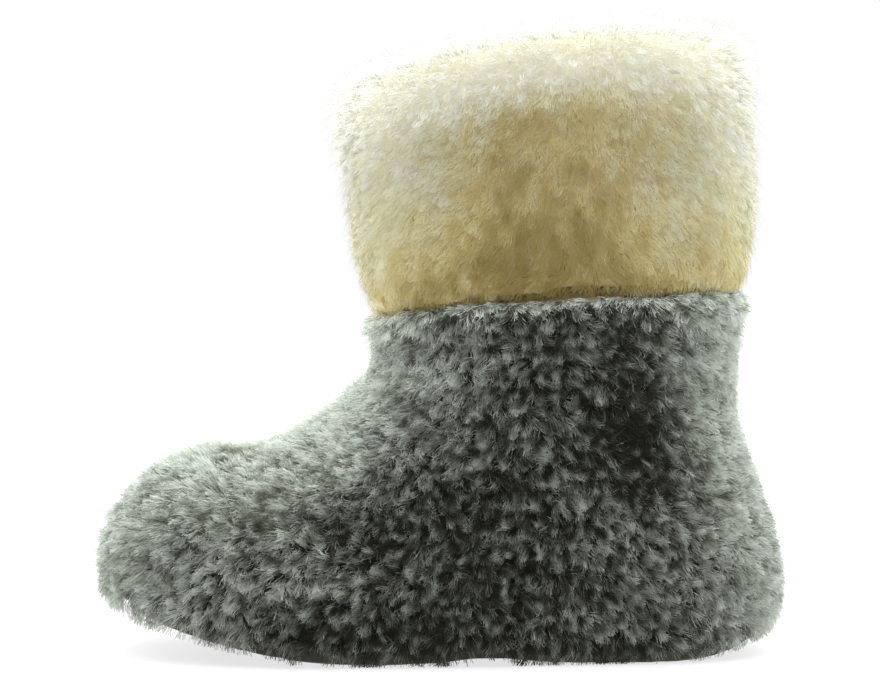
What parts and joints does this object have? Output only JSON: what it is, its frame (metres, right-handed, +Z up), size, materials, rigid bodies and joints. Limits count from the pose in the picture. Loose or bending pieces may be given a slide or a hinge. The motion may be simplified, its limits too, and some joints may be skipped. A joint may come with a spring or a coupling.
{
  "type": "sheepskin slipper",
  "caption": "Ankle-high sheepskin slipper boot for a left foot: hollow grey pile upper, turned-down cream wool cuff, wool insole and soft sprung sole.",
  "frame": {"origin": "on the floor, under the middle of the slipper's bounding box", "axes": "+Z up; the toe points along -Y and the heel along +Y; +X is the outer (little toe) side of this left slipper"},
  "size_m": [0.135, 0.2795, 0.2485],
  "materials": {
    "grey_wool": "deep salt-and-pepper sheepskin pile, matt",
    "cream_wool": "dense cream sheep's wool, matt",
    "suede": "brushed grey-brown suede"
  },
  "bodies": {
    "root": {"outsole": "suede", "insole": "cream_wool", "upper": "grey_wool", "cuff": "cream_wool"}
  },
  "joints": []
}
